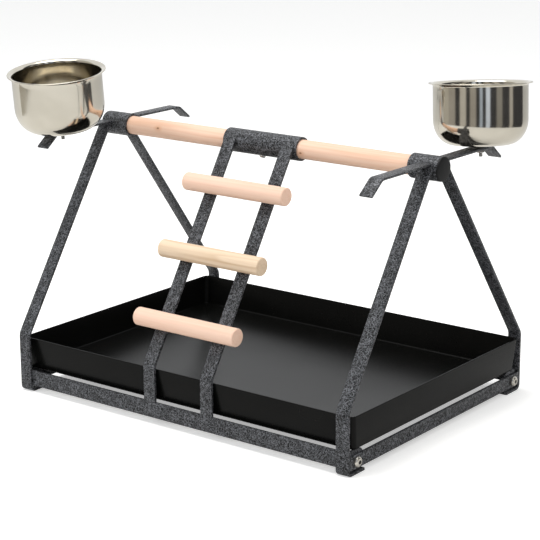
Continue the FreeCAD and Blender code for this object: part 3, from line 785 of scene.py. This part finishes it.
def trayMesh():
    low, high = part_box("tray")
    bm = bmesh.new()
    size = high - low
    bmesh.ops.create_cube(bm, size=1, matrix=Matrix.Translation((low + high) / 2)
                          @ Matrix.Diagonal((size.x, size.y, size.z, 1)))
    for vert in bm.verts:
        if vert.co.z < (low.z + high.z) / 2:
            vert.co.x -= math.copysign(tray["endLean"], vert.co.x)
            vert.co.y -= math.copysign(tray["sideLean"], vert.co.y)
    upright = [e for e in bm.edges if abs(e.verts[0].co.z - e.verts[1].co.z) > size.z / 2]
    bmesh.ops.bevel(bm, geom=upright, offset=tray["corner"], offset_type="OFFSET", affect="EDGES",
                    segments=10, profile=0.5, material=-1)
    topFaces = [f for f in bm.faces if all(v.co.z > high.z - 1e-6 for v in f.verts)]
    bmesh.ops.delete(bm, geom=topFaces, context="FACES")
    foot = [e for e in bm.edges if all(v.co.z < low.z + 1e-6 for v in e.verts)]
    bmesh.ops.bevel(bm, geom=foot, offset=tray["foot"], offset_type="OFFSET", affect="EDGES", segments=5,
                    profile=0.5, material=-1)
    bmesh.ops.recalc_face_normals(bm, faces=bm.faces)
    bmesh.ops.solidify(bm, geom=bm.faces[:], thickness=tray["wall"])
    rim = [e for e in bm.edges if all(v.co.z > high.z - 0.4 * mm for v in e.verts)
           and len(e.link_faces) == 2 and e.calc_face_angle(0) > math.radians(50)]
    bmesh.ops.bevel(bm, geom=rim, offset=tray["rim"], offset_type="OFFSET", affect="EDGES", segments=3,
                    profile=0.5, material=-1)
    return bm


finishPiece("tray_sheet", trayMesh(), trayGloss, "tray", ["tray"], smoothAngle=32)
print("tray made")

# bowls: spun steel cups with a flared, rounded rim
bowl = {"rim": 52.7 * mm, "body": 48.1 * mm, "height": 63.3 * mm, "wall": 0.8 * mm, "flat": 26.9 * mm,
        "round": 25.8 * mm, "rise": 3.4 * mm, "lip": 0.55 * mm, "steps": 160}
bowlBolt = {"head": 4.25 * mm, "headHeight": 2.6 * mm, "shank": 2.0 * mm, "below": 12.2 * mm,
            "recess": 1.7 * mm, "nutWidth": 7.0 * mm, "nutHeight": 3.2 * mm, "pitch": 0.7 * mm}


def bowlOutline():
    body, wall, lip = bowl["body"], bowl["wall"], bowl["lip"]
    flat, curve = bowl["flat"], bowl["round"]
    neck = bowl["height"] - bowl["rise"]
    outline = [(0, 0)]
    for i in range(1, 6):
        outline.append((flat * i / 6, 0))
    outline += arcPoints((flat, curve), (body - flat, curve), -90, 0, 22)
    for i in range(1, 8):
        outline.append((body, curve + (neck - curve) * i / 8))
    flare = bowl["rim"] - body - lip
    outline += arcPoints((body + flare, neck), (flare, bowl["rise"] - 2 * lip), 180, 100, 8)
    outline += arcPoints((bowl["rim"] - lip, bowl["height"] - lip), (lip, lip), -80, 90, 8)
    outline += arcPoints((body + flare, neck), (flare + wall, bowl["rise"]), 96, 180, 8)
    inner = body - wall
    for i in range(1, 8):
        outline.append((inner, neck - (neck - curve) * i / 8))
    outline += arcPoints((flat, curve), (inner - flat, curve - wall), 0, -90, 22)
    for i in range(5, 0, -1):
        outline.append((flat * i / 6, wall))
    outline.append((0, wall))
    return outline


for joint in frame["joints"]:
    if not joint["name"].endswith("_bowl_turn"):
        continue
    body = joint["child"]
    seat = Vector(joint["pos_m"])
    axis = Vector(joint["axis"]).normalized()
    finish = makeBowlFinish(body + "Steel", seat, axis)
    bm = placeMesh(spunMesh(bowlOutline(), bowl["steps"]), seat, axis)
    finishPiece(body + "_spun", bm, finish, body, [body], smoothAngle=60)
    shankLength = bowlBolt["below"] + bowl["wall"]
    bm = boltMesh(bowlBolt["head"], bowlBolt["headHeight"], bowlBolt["shank"], shankLength, "cross",
                  bowlBolt["recess"], bowlBolt["pitch"])
    placeMesh(bm, seat + axis * bowl["wall"], axis, 0.5)
    finishPiece(body + "_bolt_threaded", bm, steelPlate, body, [body + "_bolt"],
                smoothAngle=35)
    nutLow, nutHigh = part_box(body + "_nut")
    nutMiddle = (nutLow + nutHigh) / 2
    nutTop = seat - axis * ((seat - nutMiddle).dot(axis) - bowlBolt["nutHeight"] / 2)
    nut = nutMesh(bowlBolt["nutWidth"], bowlBolt["nutHeight"], bowlBolt["shank"] * 0.98)
    placeMesh(nut, nutTop, -axis, 0.2)
    finishPiece(body + "_nut_hex", nut, steelPlate, body, [body + "_nut"], smoothAngle=25)
print("bowls made")

# floor, surroundings, a ring of painted reflections, and lamps
studio = {
    "floorSize": 16.0,
    "floorColor": (0.86, 0.855, 0.84),
    "floorLift": 0.42,
    "skyLight": 0.55,
    "wallRadius": 1.15,
    "wallHeight": 2.6,
    "wallArc": 210,
    # the ring's ground colour: a painted dark reflection that glows and is seen only in metal
    "paintedReflectionDark": (0.055, 0.055, 0.06),
}


def lightPathSum(tree, kinds):
    path = addNode(tree, "ShaderNodeLightPath")
    total = path.outputs[kinds[0]]
    for kind in kinds[1:]:
        total = mathNode(tree, "ADD", total, path.outputs[kind], True)
    return total


def makeFloor():
    bm = bmesh.new()
    bmesh.ops.create_grid(bm, x_segments=1, y_segments=1, size=studio["floorSize"] / 2)
    mesh = bpy.data.meshes.new("floor")
    bm.to_mesh(mesh)
    bm.free()
    floor = bpy.data.objects.new("floor", mesh)
    bpy.context.scene.collection.objects.link(floor)
    material, tree, shader = newMaterial("floorPaper", Roughness=0.85, Specular_IOR_Level=0.1)
    shader.inputs["Base Color"].default_value = (*studio["floorColor"], 1)
    glow = addNode(tree, "ShaderNodeEmission")
    glow.inputs["Color"].default_value = (1, 1, 1, 1)
    seen = lightPathSum(tree, ("Is Camera Ray",))
    tree.links.new(mathNode(tree, "MULTIPLY", seen, studio["floorLift"]), glow.inputs["Strength"])
    both = addNode(tree, "ShaderNodeAddShader")
    tree.links.new(shader.outputs[0], both.inputs[0])
    tree.links.new(glow.outputs[0], both.inputs[1])
    tree.links.new(both.outputs[0], tree.nodes["Material Output"].inputs["Surface"])
    mesh.materials.append(material)


def makeSky():
    world = bpy.data.worlds.new("paleRoom")
    bpy.context.scene.world = world
    world.use_nodes = True
    tree = world.node_tree
    background = tree.nodes["Background"]
    background.inputs["Color"].default_value = (0.97, 0.985, 1.0, 1)
    seen = lightPathSum(tree, ("Is Camera Ray", "Is Glossy Ray", "Is Transmission Ray"))
    level = mathNode(tree, "ADD", studio["skyLight"],
                     mathNode(tree, "MULTIPLY", seen, 1.0 - studio["skyLight"]))
    tree.links.new(level, background.inputs["Strength"])


# painted reflection bands on the glowing ring, bright and dim stripes for metal to mirror: middle, half width
# and soft edge in degrees, then colour
paintedReflectionBands = (
    (-32, 3.5, 2, (0.75, 0.84, 1.0)),
    (-47, 2.2, 2, (0.5, 0.58, 0.7)),
    (-66, 5, 5, (0.42, 0.4, 0.37)),
    (-92, 6, 5, (0.62, 0.6, 0.56)),
    (-8, 4, 4, (0.3, 0.29, 0.27)),
    (18, 3, 2, (0.5, 0.48, 0.45)),
    (-125, 8, 5, (0.4, 0.38, 0.35)),
    (-150, 12, 5, (0.5, 0.48, 0.43)),
)


# a glowing ring behind the camera: a dark painted reflection with lighter painted reflection bands. Only
# reflections show it, and it lights nothing and casts no shadow
def makePaintedReflectionRing():
    bm = bmesh.new()
    bottom = bm.verts.new((studio["wallRadius"], 0, 0.0))
    top = bm.verts.new((studio["wallRadius"], 0, studio["wallHeight"]))
    bm.edges.new((bottom, top))
    bmesh.ops.spin(bm, geom=bm.verts[:] + bm.edges[:], cent=(0, 0, 0), axis=(0, 0, 1),
                   angle=math.radians(studio["wallArc"]), steps=64)
    towards = math.atan2(cameraView["place"][1], cameraView["place"][0])
    turned = Matrix.Rotation(towards - math.radians(studio["wallArc"] / 2), 4, "Z")
    bmesh.ops.transform(bm, matrix=turned, verts=bm.verts)
    mesh = bpy.data.meshes.new("paintedReflectionRing")
    bm.to_mesh(mesh)
    bm.free()
    room = bpy.data.objects.new("paintedReflectionRing", mesh)
    bpy.context.scene.collection.objects.link(room)
    room.visible_camera = False
    room.visible_diffuse = False
    room.visible_shadow = False
    room.visible_transmission = False
    material = bpy.data.materials.new("paintedReflectionRing")
    material.use_nodes = True
    tree = material.node_tree
    tree.nodes.clear()
    coords = addNode(tree, "ShaderNodeTexCoord")
    parts = addNode(tree, "ShaderNodeSeparateXYZ")
    tree.links.new(coords.outputs["Object"], parts.inputs[0])
    around = mathNode(tree, "ARCTAN2", parts.outputs["Y"], parts.outputs["X"])
    degrees = mathNode(tree, "MULTIPLY", around, 180 / math.pi)
    # start from the ring's painted dark reflection, then paint the lighter reflection bands over it
    color = studio["paintedReflectionDark"]
    for middle, half, soft, shade in paintedReflectionBands:
        away = mathNode(tree, "ABSOLUTE", mathNode(tree, "SUBTRACT", degrees, middle))
        band = mathNode(tree, "SUBTRACT", 1.0, stepUp(tree, away, half, half + soft))
        color = mixColor(tree, band, color, shade)
    # the ring glows with these painted reflection colours, though it is no lamp
    glow = addNode(tree, "ShaderNodeEmission")
    tree.links.new(color, glow.inputs["Color"])
    glow.inputs["Strength"].default_value = 1.0
    output = addNode(tree, "ShaderNodeOutputMaterial")
    tree.links.new(glow.outputs[0], output.inputs["Surface"])
    mesh.materials.append(material)


lamps = (
    {"name": "topLamp", "place": (-0.3, -0.2, 2.1), "target": (0, 0, 0.1), "size": 1.5, "power": 26,
     "color": (1, 0.985, 0.96)},
    {"name": "frontLamp", "place": (-1.1, -1.9, 1.5), "target": (0, 0, 0.15), "size": 1.0, "power": 14,
     "color": (0.92, 0.96, 1)},
    {"name": "sideLamp", "place": (2.0, -0.3, 1.3), "target": (0, 0, 0.15), "size": 0.9, "power": 9,
     "color": (1, 0.98, 0.95)},
)


def makeLamps():
    for lamp in lamps:
        data = bpy.data.lights.new(lamp["name"], "AREA")
        data.shape = "DISK"
        data.size = lamp["size"]
        data.energy = lamp["power"]
        data.color = lamp["color"]
        thing = bpy.data.objects.new(lamp["name"], data)
        aim = Vector(lamp["target"]) - Vector(lamp["place"])
        turned = aim.to_track_quat("-Z", "Y").to_matrix().to_4x4()
        thing.matrix_world = Matrix.Translation(lamp["place"]) @ turned
        bpy.context.scene.collection.objects.link(thing)


makeFloor()
makeSky()
# the ring of painted reflections, seen only in metal
makePaintedReflectionRing()
makeLamps()
bpy.context.scene.view_settings.view_transform = "Standard"
print("studio made")
